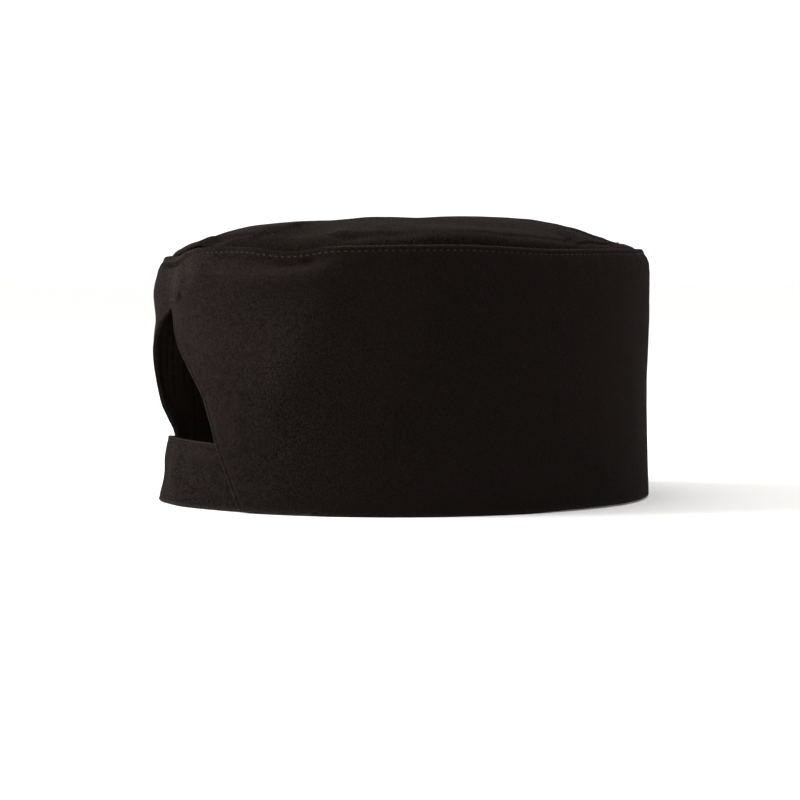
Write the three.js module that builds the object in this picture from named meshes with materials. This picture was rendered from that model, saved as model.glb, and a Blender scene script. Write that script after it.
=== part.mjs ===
// A cook's skull cap in woven twill, made of three sewn pieces: a tall side band with a pointed opening at
// the back, a soft oval crown whose edge is turned down inside the band, and a strap that closes the band
// below the opening. Millimetres, +Z up, the rim on z = 0, the front towards -Y and the opening towards +Y.
// A turn is an angle round the oval from the middle of the back, in degrees, positive towards -X.

import * as THREE from "three";

const capDepth = 197; // outside of the band, front to back
const capWidth = 178; // outside of the band, side to side
const bandWall = 1.8; // two layers of twill, as at a turned hem
const crownWall = 1.2;
const strapWall = 1.6;
const sewnGap = 0.3; // between the crown's turned-in edge and the band
const crownRise = 13; // middle of the crown above the seam
const crownMiddle = 97.6; // height that the crown's rise is counted from, in the middle of the cap
const crownTilt = 1.8; // how much higher the front of the crown stands, and how much lower the back
const crownEdge = { starts: 0.6, ends: 1 }; // reaches between which the crown comes down to the seam
const foldEdge = { starts: 0.93, ends: 1 }; // reaches between which the crown's folds die out

// The strap. Turns are in degrees, the rest in millimetres.
const strap = {
  height: 25.7, // its upper edge in the middle
  sag: 1, // how much lower that edge is at the hems
  lift: 0.4, // its lower edge over the rim
  gap: 0.5, // behind the band
  tuck: 7.5, // turn hidden behind each hem
  free: { starts: 6, ends: 29 }, // turns over which it comes back to the band's line
  standsOut: { bottom: 2.3, top: -1.2 }, // of the tucked ends' line, in its free middle
};

const columnsRound = 64;
const strapColumns = 24;

// The seam between band and crown. It slumps at the back and beside it.
const seamLine = [
  { turn: -120, height: 98.0 },
  { turn: -60, height: 97.6 },
  { turn: -22, height: 95.4 },
  { turn: 0, height: 94.7 },
  { turn: 14, height: 96.3 },
  { turn: 24, height: 98.0 },
  { turn: 33, height: 98.1 },
  { turn: 46, height: 96.2 },
  { turn: 58, height: 98.2 },
  { turn: 84, height: 98.7 },
  { turn: 108, height: 97.3 },
  { turn: 137, height: 97.8 },
  { turn: 200, height: 98.0 },
];

// How the band's upper edge rolls in towards the crown. A share is a height over the seam's.
const topRoll = [
  { share: 0, out: 0 },
  { share: 0.9, out: 0 },
  { share: 0.94, out: -0.2 },
  { share: 0.97, out: -0.8 },
  { share: 0.985, out: -1.5 },
  { share: 1, out: -2.7 },
];

// The two hems of the opening, from the rim up to the point, as turns.
const openingEdges = [
  { height: 0, near: 33.2, far: -33.0 },
  { height: 12, near: 29.4, far: -30.8 },
  { height: 24, near: 25.8, far: -28.2 },
  { height: 30, near: 24.5, far: -25.0 },
  { height: 36, near: 22.9, far: -21.8 },
  { height: 42.5, near: 20.7, far: -20.2 },
  { height: 48, near: 17.7, far: -18.8 },
  { height: 53, near: 14.7, far: -17.1 },
  { height: 58, near: 11.6, far: -14.6 },
  { height: 63, near: 8.8, far: -11.2 },
  { height: 68, near: 6.3, far: -6.4 },
  { height: 72, near: 4.4, far: -1.6 },
  { height: 76.2, near: 3.0, far: 3.0 },
];

// Soft bulges and dents of the band. A spread is the distance at which a push has fallen to about a third.
const bandFolds = [
  { name: "bulge beside the back seam", turn: -14, height: 80, turnSpread: 13, heightSpread: 8, push: 1.6 },
  { name: "flare of the far hem", turn: -16, height: 56, turnSpread: 12, heightSpread: 13, push: 2.4 },
  { name: "flare of the near hem", turn: 22, height: 66, turnSpread: 10, heightSpread: 15, push: 1.0 },
  { name: "back seam drawn in", turn: 3, height: 84, turnSpread: 5, heightSpread: 12, push: -1.2 },
  { name: "point of the opening drawn in", turn: 3, height: 73, turnSpread: 6, heightSpread: 7, push: -1.2 },
  { name: "pull of the strap", turn: -29, height: 22, turnSpread: 9, heightSpread: 12, push: -2.2 },
  { name: "waist at the front", turn: 156, height: 38, turnSpread: 60, heightSpread: 22, push: -1.4 },
  { name: "dent under the slumped seam", turn: 46, height: 91, turnSpread: 10, heightSpread: 3, push: -1.8 },
  { name: "crease towards the strap", turn: 47, height: 58, turnSpread: 7, heightSpread: 30, push: 0.9 },
];

// Rise of the crown from its edge (reach 1) to its middle (reach 0), as a share of crownRise.
const crownProfile = [
  { reach: 0, rise: 1 },
  { reach: 0.25, rise: 1.01 },
  { reach: 0.4, rise: 1 },
  { reach: 0.5, rise: 0.95 },
  { reach: 0.6, rise: 0.87 },
  { reach: 0.7, rise: 0.75 },
  { reach: 0.8, rise: 0.57 },
  { reach: 0.9, rise: 0.33 },
  { reach: 1, rise: 0 },
];
const crownRings = [0.18, 0.34, 0.48, 0.6, 0.7, 0.79, 0.87, 0.94, 0.98, 1];

const crownFolds = [
  { name: "hollow front shoulder", turn: 161, reach: 0.78, turnSpread: 34, reachSpread: 0.14, push: -1.6 },
  { name: "hollow over the slump", turn: 46, reach: 0.84, turnSpread: 12, reachSpread: 0.12, push: -1.8 },
  { name: "ridge at the back shoulder", turn: 30, reach: 0.72, turnSpread: 7, reachSpread: 0.16, push: 1.6 },
  { name: "pull at the front corner", turn: 128, reach: 0.8, turnSpread: 8, reachSpread: 0.14, push: 1.2 },
];

const bandRows = [0, 12, 24, 30, 36, 42.5, 48, 53, 58, 63, 68, 72, 76.2];
const upperRows = [0.36, 0.7, 1]; // shares of the way from the point up to the cloth turned in
const rollRows = [8, 4.5, 2.6, 1.2, 0]; // distances under the seam, where the crown's edge is turned in
const strapRows = [0, 0.5, 1];

const radians = THREE.MathUtils.degToRad;
const pointHeight = openingEdges[openingEdges.length - 1].height;

// A smooth curve through one column of a table.
function curveThrough(table, from, to) {
  const places = table.map((row) => row[from]);
  const values = table.map((row) => row[to]);
  const curve = new THREE.CubicInterpolant(places, values, 1, new Float32Array(1));
  const [first, last] = [places[0], places[places.length - 1]];
  return (place) => curve.evaluate(THREE.MathUtils.clamp(place, first, last))[0];
}

// The same for a table that goes once round the cap.
function curveRound(table, to) {
  const laps = [-360, 0, 360];
  const rows = laps.flatMap((lap) => table.map((row) => ({ turn: row.turn + lap, value: row[to] })));
  return curveThrough(rows, "turn", "value");
}

const seamHeight = curveRound(seamLine, "height");
const rollOut = curveThrough(topRoll, "share", "out");
const nearHem = curveThrough(openingEdges, "height", "near");
const farHem = curveThrough(openingEdges, "height", "far");
const crownShare = curveThrough(crownProfile, "reach", "rise");

function turnBetween(turn, middle) {
  return THREE.MathUtils.euclideanModulo(turn - middle + 180, 360) - 180;
}

function bell(distance, spread) {
  return Math.exp(-((distance / spread) ** 2));
}

function bandOut(turn, height) {
  const folds = bandFolds.map(
    (fold) =>
      fold.push *
      bell(turnBetween(turn, fold.turn), fold.turnSpread) *
      bell(height - fold.height, fold.heightSpread),
  );
  return folds.reduce((sum, push) => sum + push, rollOut(height / seamHeight(turn)));
}

// A point of the band's outer face, moved inwards by inset along the oval's own normal.
function bandPoint(turn, height, inset) {
  const angle = radians(turn);
  const [halfWidth, halfDepth] = [capWidth / 2, capDepth / 2];
  const onOval = new THREE.Vector3(-halfWidth * Math.sin(angle), halfDepth * Math.cos(angle), height);
  const normal = new THREE.Vector3(-halfDepth * Math.sin(angle), halfWidth * Math.cos(angle), 0).normalize();
  return onOval.addScaledVector(normal, bandOut(turn, height) - inset);
}

// A closed wall from an outer skin and the matching points of its inner face. Every open edge of the outer
// skin gets a strip of wall, so hems and rims are closed the same way.
function wallGeometry(outer, inner, quads) {
  const triangles = quads.flatMap(([a, b, c, d]) => [
    [a, b, c],
    [a, c, d],
  ]);
  const skin = triangles.filter(([a, b, c]) => a !== b && b !== c && c !== a);
  const edges = new Map();
  for (const [a, b, c] of skin) {
    for (const [from, to] of [
      [a, b],
      [b, c],
      [c, a],
    ]) {
      if (!edges.delete(`${to} ${from}`)) edges.set(`${from} ${to}`, [from, to]);
    }
  }
  const faces = [...skin, ...skin.map(([a, b, c]) => [a + outer.length, c + outer.length, b + outer.length])];
  for (const [from, to] of edges.values()) {
    faces.push([to, from, from + outer.length], [to, from + outer.length, to + outer.length]);
  }
  const geometry = new THREE.BufferGeometry().setFromPoints([...outer, ...inner]);
  geometry.setIndex(faces.flat());
  geometry.computeVertexNormals();
  return geometry;
}

// Quads between the rows of a grid of point numbers, facing out when rows climb and turns grow.
function quadsBetween(rows) {
  return rows
    .slice(1)
    .flatMap((upper, r) =>
      upper.slice(1).map((_, c) => [rows[r][c], rows[r][c + 1], upper[c + 1], upper[c]]),
    );
}

// The band: rows run from the near hem round the front to the far hem. From the point of the opening up,
// both ends of a row are one point, which is the back seam.
function sideBandGeometry() {
  const outer = [];
  const inner = [];
  const levels = [
    ...bandRows.map((height) => () => height),
    ...upperRows.map((share) => (turn) => pointHeight + (rollHeight(turn, 0) - pointHeight) * share),
    ...rollRows.slice(1).map((_, row) => (turn) => rollHeight(turn, row + 1)),
  ];
  const grid = levels.map((heightAt, level) => {
    const hemHeight = Math.min(bandRows[level] ?? pointHeight, pointHeight);
    const start = nearHem(hemHeight);
    const sweep = 360 + farHem(hemHeight) - start;
    const closed = hemHeight === pointHeight;
    const row = [];
    for (let column = 0; column <= columnsRound; column += 1) {
      if (closed && column === columnsRound) {
        row.push(row[0]);
        continue;
      }
      const turn = start + (sweep * column) / columnsRound;
      row.push(outer.length);
      outer.push(bandPoint(turn, heightAt(turn), 0));
      inner.push(bandPoint(turn, heightAt(turn), bandWall));
    }
    return row;
  });
  return wallGeometry(outer, inner, quadsBetween(grid));
}

function rollHeight(turn, row) {
  return seamHeight(turn) - rollRows[row];
}

function crownHeight(turn, reach) {
  const folds = crownFolds.map(
    (fold) =>
      fold.push *
      bell(turnBetween(turn, fold.turn), fold.turnSpread) *
      bell(reach - fold.reach, fold.reachSpread),
  );
  const towardsBack = Math.cos(radians(turn)) * reach;
  const level = crownMiddle - crownTilt * towardsBack;
  const nearEdge = THREE.MathUtils.smoothstep(reach, crownEdge.starts, crownEdge.ends);
  const fade = 1 - THREE.MathUtils.smoothstep(reach, foldEdge.starts, foldEdge.ends);
  return (
    THREE.MathUtils.lerp(level, seamHeight(turn), nearEdge) +
    crownRise * crownShare(reach) +
    fade * folds.reduce((sum, push) => sum + push, 0)
  );
}

// The crown: rings from the middle to the edge, then rows of the cloth turned down inside the band.
function crownGeometry() {
  const inset = bandWall + sewnGap;
  const middle = new THREE.Vector3(0, 0, crownHeight(0, 0));
  const outer = [middle];
  const inner = [middle.clone().setZ(middle.z - crownWall)];
  const rings = [Array(columnsRound + 1).fill(0)];
  const addRing = (pointOf) => {
    const ring = [];
    for (let column = 0; column < columnsRound; column += 1) {
      const [outside, inside] = pointOf(nearHem(pointHeight) + (360 * column) / columnsRound);
      ring.push(outer.length);
      outer.push(outside);
      inner.push(inside);
    }
    rings.push([...ring, ring[0]]);
  };
  for (const reach of crownRings) {
    addRing((turn) => {
      const edge = bandPoint(turn, seamHeight(turn), inset);
      const innerEdge = bandPoint(turn, seamHeight(turn), inset + crownWall);
      const height = crownHeight(turn, reach);
      return [
        new THREE.Vector3(edge.x * reach, edge.y * reach, height),
        new THREE.Vector3(innerEdge.x * reach, innerEdge.y * reach, height - crownWall),
      ];
    });
  }
  for (let row = rollRows.length - 2; row >= 0; row -= 1) {
    addRing((turn) => {
      const height = rollHeight(turn, row);
      const insideHeight = height - (crownWall * row) / rollRows.length;
      return [bandPoint(turn, height, inset), bandPoint(turn, insideHeight, inset + crownWall)];
    });
  }
  return wallGeometry(outer, inner, quadsBetween([...rings].reverse()));
}

// The strap follows the band's inner face where it is tucked in, and leaves that line in between.
function strapGeometry() {
  const outer = [];
  const inner = [];
  const grid = strapRows.map((share) => {
    const start = farHem(strap.height * share) - strap.tuck;
    const sweep = nearHem(strap.height * share) + strap.tuck - start;
    const row = [];
    for (let column = 0; column <= strapColumns; column += 1) {
      const turn = start + (sweep * column) / strapColumns;
      const free = 1 - THREE.MathUtils.smoothstep(Math.abs(turn), strap.free.starts, strap.free.ends);
      const top = strap.height - strap.sag * (turn / strap.free.ends) ** 2;
      const height = THREE.MathUtils.lerp(strap.lift, top, share);
      const out = free * THREE.MathUtils.lerp(strap.standsOut.bottom, strap.standsOut.top, share);
      row.push(outer.length);
      outer.push(bandPoint(turn, height, bandWall + strap.gap - out));
      inner.push(bandPoint(turn, height, bandWall + strap.gap - out + strapWall));
    }
    return row;
  });
  return wallGeometry(outer, inner, quadsBetween(grid));
}

function clothPiece(name, geometry, colour) {
  const cloth = new THREE.MeshStandardMaterial({ color: colour, roughness: 0.92, metalness: 0 });
  const piece = new THREE.Mesh(geometry, cloth);
  piece.name = name;
  return piece;
}

const cap = new THREE.Group();
cap.add(clothPiece("side_band", sideBandGeometry(), 0x201b19));
cap.add(clothPiece("crown", crownGeometry(), 0x241e1b));
cap.add(clothPiece("back_strap", strapGeometry(), 0x231d1b));

export default cap;
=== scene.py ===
import math

import bpy
import numpy as np
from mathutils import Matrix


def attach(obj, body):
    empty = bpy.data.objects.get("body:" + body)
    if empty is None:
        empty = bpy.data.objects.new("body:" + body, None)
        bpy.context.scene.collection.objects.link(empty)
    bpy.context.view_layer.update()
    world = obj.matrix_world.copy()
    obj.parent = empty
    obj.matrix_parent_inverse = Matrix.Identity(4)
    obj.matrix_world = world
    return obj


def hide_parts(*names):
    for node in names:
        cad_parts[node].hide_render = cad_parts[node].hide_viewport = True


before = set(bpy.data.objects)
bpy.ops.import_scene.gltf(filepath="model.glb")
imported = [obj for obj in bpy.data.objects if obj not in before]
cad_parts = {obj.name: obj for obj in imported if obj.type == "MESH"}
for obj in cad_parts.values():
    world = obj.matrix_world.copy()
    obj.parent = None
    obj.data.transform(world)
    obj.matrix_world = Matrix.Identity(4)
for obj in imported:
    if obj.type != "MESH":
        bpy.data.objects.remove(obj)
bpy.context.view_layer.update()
print("cap: frame loaded, nodes", sorted(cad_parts))

mm = 0.001  # the cap's tables are in millimetres and degrees

# A turn is an angle round the cap's oval, from the middle of the back, growing towards -X.
capForm = {
    "depth": 197,  # outside of the band, front to back
    "width": 178,
    "seamLine": [  # turn, height of the seam between band and crown
        (-120, 98.0), (-60, 97.6), (-22, 95.2), (0, 94.5), (7.5, 95.2), (13.5, 96.9), (18, 97.9),
        (24, 98.1), (33, 98.1), (46, 96.2), (58, 98.2), (84, 98.7), (108, 97.3), (137, 97.8), (200, 98.0),
    ],
    "openingEdges": [  # height, turn of the near hem, turn of the far hem
        (0, 33.2, -33.0), (12, 29.4, -30.8), (24, 25.8, -28.2), (30, 24.5, -25.0), (36, 22.9, -21.8),
        (42.5, 20.7, -20.2), (48, 17.7, -18.8), (53, 14.7, -17.1), (58, 11.6, -14.6), (63, 8.8, -11.2),
        (68, 6.3, -6.4), (72, 4.4, -1.6), (76.2, 3.0, 3.0),
    ],
    "backSeam": [  # height, turn of the seam from the opening's point up to the crown
        (76.2, 3.0), (78.1, 6.1), (80, 8.4), (83.1, 10.3), (85.8, 11.1), (88.8, 11.7), (92, 12.7),
        (99, 14.0),
    ],
}
halfWidth, halfDepth = capForm["width"] / 2, capForm["depth"] / 2
standing = {
    "lift": 0.7,  # how far the soft rim arches off the surface between the places where it touches
    "height": 16,  # how far up the band that arching dies out
    "touches": [  # turn, share: 1 where the rim touches
        (-60, 0), (-40, 0.4), (-24, 1), (28, 1), (33, 0.5), (36, 0), (50, 0), (56, 1), (100, 1), (112, 0.2),
        (130, 0), (190, 0), (215, 1), (270, 1), (290, 0),
    ],
}
pointHeight = capForm["openingEdges"][-1][0]
foldStart = 8.0  # how far under the seam the band's upper edge begins to shape itself


def bell(distance, spread):
    return np.exp(-((distance / spread) ** 2))


def easeBetween(value, low, high):
    share = np.clip((value - low) / (high - low), 0, 1)
    return share * share * (3 - 2 * share)


def smoothCurve(rows, lap=0):
    # a curve through (place, value) rows that never overshoots them; lap repeats it round the cap
    rows = np.array(rows, float)
    if lap:
        rows = np.concatenate([rows - [lap, 0], rows, rows + [lap, 0]])
    places, values = rows.T
    steps = np.diff(places)
    slopes = np.diff(values) / steps
    tangents = np.concatenate([slopes[:1], np.zeros(len(slopes) - 1), slopes[-1:]])
    before, after = slopes[:-1], slopes[1:]
    climbing = before * after > 0
    tangents[1:-1][climbing] = 2 * (before * after)[climbing] / (before + after)[climbing]

    def at(place):
        place = np.clip(place, places[0], places[-1])
        i = np.clip(np.searchsorted(places, place, side="right") - 1, 0, len(steps) - 1)
        t = (place - places[i]) / steps[i]
        rise = tangents[i] * t * (1 - t) ** 2 - tangents[i + 1] * t**2 * (1 - t)
        return values[i] * (1 + 2 * t) * (1 - t) ** 2 + values[i + 1] * t**2 * (3 - 2 * t) + rise * steps[i]

    return at


def ripples(places, form, seed, waves=30):
    # soft random waves, whose form is how high they stand and about how long they are
    height, size = form
    chance = np.random.default_rng(seed)
    headings = chance.normal(size=(waves, 3))
    headings /= np.linalg.norm(headings, axis=1, keepdims=True)
    pace = 2 * np.pi / size * chance.uniform(0.6, 1.5, (waves, 1))
    phases = chance.uniform(0, 2 * np.pi, waves)
    return height * np.cos(places @ (headings * pace).T + phases).sum(-1) * math.sqrt(2 / waves)


def nearPath(points, path):
    # how far each flat point is from a path, and how far along the path its nearest spot lies
    path = np.array(path, float)
    run = np.diff(path, axis=0)
    lengths = np.linalg.norm(run, axis=1)
    away = points[:, None] - path[:-1]
    share = np.clip((away * run).sum(-1) / lengths**2, 0, 1)
    gaps = np.linalg.norm(away - share[..., None] * run, axis=-1)
    nearest = gaps.argmin(1)
    each = np.arange(len(points))
    passed = np.concatenate([[0], np.cumsum(lengths)])[nearest] + share[each, nearest] * lengths[nearest]
    return gaps[each, nearest], passed, lengths.sum()


def creaseRelief(points, path, width, push):
    gap, passed, length = nearPath(points, path)
    fade = length * 0.3
    ends = easeBetween(passed, -0.3 * fade, fade) * easeBetween(length - passed, -0.3 * fade, fade)
    return push * ends * bell(gap, width)


def softCreases(creases, flat):
    return sum(creaseRelief(flat, *crease) for crease in creases)


seamHeight = smoothCurve(capForm["seamLine"], lap=360)
nearHem = smoothCurve([(h, near) for h, near, far in capForm["openingEdges"]])
farHem = smoothCurve([(h, far) for h, near, far in capForm["openingEdges"]])
backSeam = smoothCurve(capForm["backSeam"])

# Lengths along the oval, from turn 0.
ringStep = 0.25
ringTurns = np.arange(-400, 760, ringStep)
ringPaces = np.hypot(halfWidth * np.cos(np.radians(ringTurns)), halfDepth * np.sin(np.radians(ringTurns)))
ringArcs = np.cumsum(ringPaces) * math.radians(ringStep)
ringArcs -= np.interp(0, ringTurns, ringArcs)


def arcAt(turn):
    return np.interp(turn, ringTurns, ringArcs)


def turnAt(arc):
    return np.interp(arc, ringArcs, ringTurns)


def aroundBack(turn):
    return (turn + 180) % 360 - 180


def alongBand(creases):
    # creases whose paths are in turns and heights, with the turns made lengths along the band
    return [([(float(arcAt(t)), h) for t, h in path], width, push) for path, width, push in creases]


def softSpots(spots, turn, place):
    # the sum of round soft spots, each a turn, a height or reach, the spread of each, and an amount
    total = 0.0 * turn
    for atTurn, atPlace, turnSpread, placeSpread, amount in spots:
        total += amount * bell(aroundBack(turn - atTurn), turnSpread) * bell(place - atPlace, placeSpread)
    return total


def ovalPlace(turn, height):
    angle = np.radians(turn)
    place = np.stack([-halfWidth * np.sin(angle), halfDepth * np.cos(angle), height + 0 * angle], -1)
    facing = np.stack([-halfDepth * np.sin(angle), halfWidth * np.cos(angle), 0 * angle], -1)
    return place, facing / np.linalg.norm(facing, axis=-1, keepdims=True)


touchShare = smoothCurve(standing["touches"], lap=360)


def settle(points):
    # let the soft rim down onto the surface where it touches
    turn = np.degrees(np.arctan2(-points[:, 0] / halfWidth, points[:, 1] / halfDepth))
    free = 1 - touchShare(turn) * (1 - easeBetween(points[:, 2], 0, standing["height"]))
    return points + np.stack([0 * free, 0 * free, standing["lift"] * free], -1)


# The side band: soft folds, creases, hems and the shape of its upper edge.
bandForm = {
    "columns": 372,
    "crowding": (0.26, 0.07),  # spacing of the columns at the hems, and how far round it widens
    "bodyRows": 58,
    "upperRows": 9,
    "upperSeam": 11.5,  # how far up the back seam those rows reach from the opening's point
    "edgeRows": 30,
    "edgeSeam": (88, 96),  # heights on the back seam where the rows of the upper edge start and end
    "wall": 1.0,
    "hemWall": 1.45,
    "turnedInWall": 0.5,  # share of the wall that is left at the end turned in
    "hemWidth": 6.2,
    "hemRaise": 0.12,
    "hemSetBack": (0.32, 9),  # turn left for the rounded edge, and how far under the point it fades out
    "stitchInset": 1.7,  # from the hem's edge to its row of stitches
    "trough": (0.3, 0.7),  # depth and width of what that row pulls in
    "seamRowAt": 6.1,  # length over the upper edge to the seam's stitches
    "edgeBulge": 0.4,
    "ripple": (0.16, 46),  # how high and how long
    "fineRipple": (0.05, 15),
    "seamPucker": (0.12, 9),
    "hemPucker": (0.072, 8),
    "folds": [  # turn, height, spread of each, push
        (-14, 80, 13, 8, 1.6), (-16, 56, 12, 13, 2.4), (22, 66, 10, 15, 1.0), (3, 84, 5, 12, -1.2),
        (3, 73, 6, 7, -1.2), (-29, 22, 9, 12, -2.2), (156, 38, 60, 22, -0.5), (47, 58, 7, 30, 0.5),
        (11.0, 79.2, 1.2, 2.0, -1.9), (51.5, 92.6, 1.6, 1.6, -0.8), (-24, 43, 7, 8, 1.0),
        (19.5, 90, 4.5, 5, 0.5),
    ],
    "creases": [  # path of turns and heights, width, push
        ([(60, 97), (54.5, 72), (46, 49), (38, 27)], 9.0, 0.9),
        ([(24, 91.5), (34, 89), (44, 87.6), (54, 88.4), (63, 92)], 3.0, 2.0),
        ([(35, 34), (33, 29), (34, 22)], 4.0, 0.5),
        ([(13.5, 92), (12.4, 87), (10.6, 82), (8.6, 79)], 3.2, 0.6),
        ([(24, 92), (20, 86), (15, 80), (12, 76)], 5.0, 0.5),
    ],
    "topRoll": [  # distance under the seam, how far the band leans in there
        (-1, 2.9), (0.9, 2.4), (2, 1.8), (3.2, 1.15), (4.4, 0.7), (5.2, 0.4), (7.6, 0.15), (10, 0),
        (200, 0),
    ],
    "topRollShare": [  # by turn
        (-180, 1), (-40, 1), (20, 0.8), (36, 0.3), (60, 0.35), (110, 0.6), (140, 1), (180, 1),
    ],
    "backSeamDepth": 0.25,
    "backSeamWidth": 0.7,
    "shades": [  # turn, height, spread of each, darkness of the creases that hold no light
        (11.0, 79.2, 1.0, 1.4, 1.2), (46, 91.6, 6, 1.2, 0.3), (51, 92.4, 1.6, 1.4, 0.45),
        (4.4, 79.4, 0.7, 0.6, 0.9), (6.4, 77.6, 0.7, 0.6, 0.8),
    ],
    "lipShade": (3.1, 0.75, 0.85),  # how far under the seam, spread and darkness
    "farHemShade": (0.6, 0.7),  # spread and darkness
    "paintedHighlights": [  # turn, height, spread of each, how far a painted highlight lightens the cloth there
        (9, 90, 8, 8, 0.36), (17, 91, 4, 5, 0.2), (43, 88.4, 13, 2.4, 0.34), (36, 62, 14, 14, 0.16),
        (24, 33, 8, 8, 0.12),
    ],
    "wornLitRidge": 0.5,  # how far from each edge the cloth is painted paler, as wear with a painted highlight
    "wornLitHem": 0.55,
    "wornRim": (1.2, 0.5),  # spread and share
}

# Each shape runs from foldStart under the seam, over the edge, to the end turned in, as (out, up).
bandEdgeShapes = {
    "ridge": [
        (0, -8), (0, -6), (0, -4.2), (0, -3), (-0.22, -2), (0.02, -1.25), (0, -0.62), (-0.24, -0.12),
        (-0.75, 0.05), (-1.45, -0.3), (-1.85, -1), (-2.05, -1.9),
    ],
    "dip": [
        (0.3, -8), (-0.25, -6.4), (-1.3, -4.8), (-1.15, -3.3), (-1.45, -2), (-1.5, -1.4), (-1.65, -0.8),
        (-1.95, -0.2), (-2.5, 0.05), (-3.2, -0.1), (-3.8, -0.6), (-4.15, -1.5),
    ],
    "lip": [
        (0, -8), (0, -6.4), (-0.2, -5), (-0.9, -4.1), (-1.9, -3.2), (-0.9, -2.3), (0.25, -1.4), (0.3, -0.55),
        (-0.5, 0.05), (-1.5, -0.3), (-2.1, -1.2), (-2.35, -2.2),
    ],
}
stitchKnot = 4  # the point of those shapes where the seam's stitches lie

# The crown's shapes run from its slope into the cap, as (inset from the band's outside, up from the seam).
crownEdgeShapes = {
    "ridge": [
        (8, 2.1), (5.8, 1.4), (4.3, 0.8), (3.4, 0.1), (2.8, -0.9), (2.7, -2.4), (2.2, -5.2), (1.65, -8.5),
    ],
    "steep": [
        (8, 4.5), (5.6, 3.5), (4.0, 2.5), (3.2, 1.2), (2.85, -0.5), (2.7, -2.4), (2.2, -5.2), (1.65, -8.5),
    ],
    "dip": [
        (9, 5.4), (7.2, 4.7), (5.8, 3.6), (5.0, 2.1), (4.6, 0.3), (4.45, -1.4), (3.6, -4.2), (1.65, -8.5),
    ],
    "back": [
        (7.0, 3.4), (5.4, 2.6), (4.1, 1.6), (3.3, 0.5), (3.0, -0.8), (3.0, -2.2), (2.3, -5.0), (1.65, -8.5),
    ],
    "tuck": [
        (7.6, 4.6), (5.2, 3.9), (3.1, 3.0), (1.9, 1.9), (2.4, 1.0), (5.2, 0.9), (5.8, -1.2), (1.65, -8.5),
    ],
}

# Where round the cap each shape holds, by turn.
dipShare = smoothCurve([(-180, 0), (23, 0), (29, 0.75), (34, 1), (50, 1), (55, 0.6), (59, 0), (180, 0)])
lipShare = smoothCurve([(-180, 0), (-12, 0), (-3, 1), (8, 1), (14, 0.3), (20, 0), (180, 0)])
steepShare = smoothCurve([
    (-180, 0), (-170, 0), (-147, 0.9), (-138, 1), (-64, 1), (-48, 0), (59, 0), (66, 0.6), (78, 1), (104, 1),
    (118, 0.3), (134, 0), (180, 0),
])
tuckShare = smoothCurve([(-180, 0), (-9, 0), (1, 0.8), (5, 1), (16.5, 1), (21, 0), (180, 0)])
backShare = smoothCurve([(-180, 0), (-60, 0), (-42, 1), (-9, 1), (1, 0.2), (5, 0), (180, 0)])

# How linty the band is, how pale its upper ridge is painted as wear with a painted highlight, and how far
# the seam's stitches sink in, by turn.
bandLint = smoothCurve([
    (-180, 0.3), (-60, 0.4), (0, 0.5), (35, 0.5), (50, 0.32), (64, 0.22), (95, 0.12), (120, 0.1), (180, 0.3),
])
ridgeWearAndHighlight = smoothCurve([
    (-180, 1), (-60, 1), (-30, 0.4), (-6, 0.7), (14, 0.7), (20, 0), (53, 0), (60, 1), (180, 1),
])
hiddenShare = smoothCurve([
    (-180, 0.35), (-50, 0.35), (-30, 1), (19, 1), (24, 0), (57, 0), (66, 0.35), (180, 0.35),
])


def blendShapes(shapes, turn):
    turn = aroundBack(turn)
    weights = {"dip": dipShare(turn)}
    if "lip" in shapes:
        weights["lip"] = lipShare(turn)
    else:
        weights.update(steep=steepShare(turn), tuck=tuckShare(turn), back=backShare(turn))
    weights["ridge"] = 1 - sum(weights.values())
    return sum(np.array(rows, float)[:, None] * weights[name][:, None] for name, rows in shapes.items())


def alongKnots(knots, places):
    # a smooth path through the knots (knot, column, value), read at places counted in knots
    count = len(knots)
    i = np.clip(np.floor(places).astype(int), 0, count - 2)
    t = (places - i).reshape(-1, *[1] * (knots.ndim - 1))
    before, start, end, after = (knots[np.clip(i + step, 0, count - 1)] for step in (-1, 0, 1, 2))
    return 0.5 * (
        2 * start + (end - before) * t + (2 * before - 5 * start + 4 * end - after) * t**2
        + (3 * start - before - 3 * end + after) * t**3
    )


hemHeights = np.linspace(0, pointHeight, 70)
hemPaths = [np.stack([arcAt(hem(hemHeights)), hemHeights], -1) for hem in (nearHem, farHem)]
backSeamHeights = np.linspace(pointHeight, capForm["backSeam"][-1][0], 30)
backSeamPath = np.stack([arcAt(backSeam(backSeamHeights)), backSeamHeights], -1)


def hemGap(turn, height):
    # distance to the nearest hem, and how far up that hem
    flat = np.stack([arcAt(aroundBack(turn)), height], -1)
    near, far = (nearPath(flat, path) for path in hemPaths)
    nearer = near[0] < far[0]
    return np.where(nearer, near[0], far[0]), np.where(nearer, near[1], far[1])


topRoll = smoothCurve(bandForm["topRoll"])
topRollShare = smoothCurve(bandForm["topRollShare"])


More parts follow.
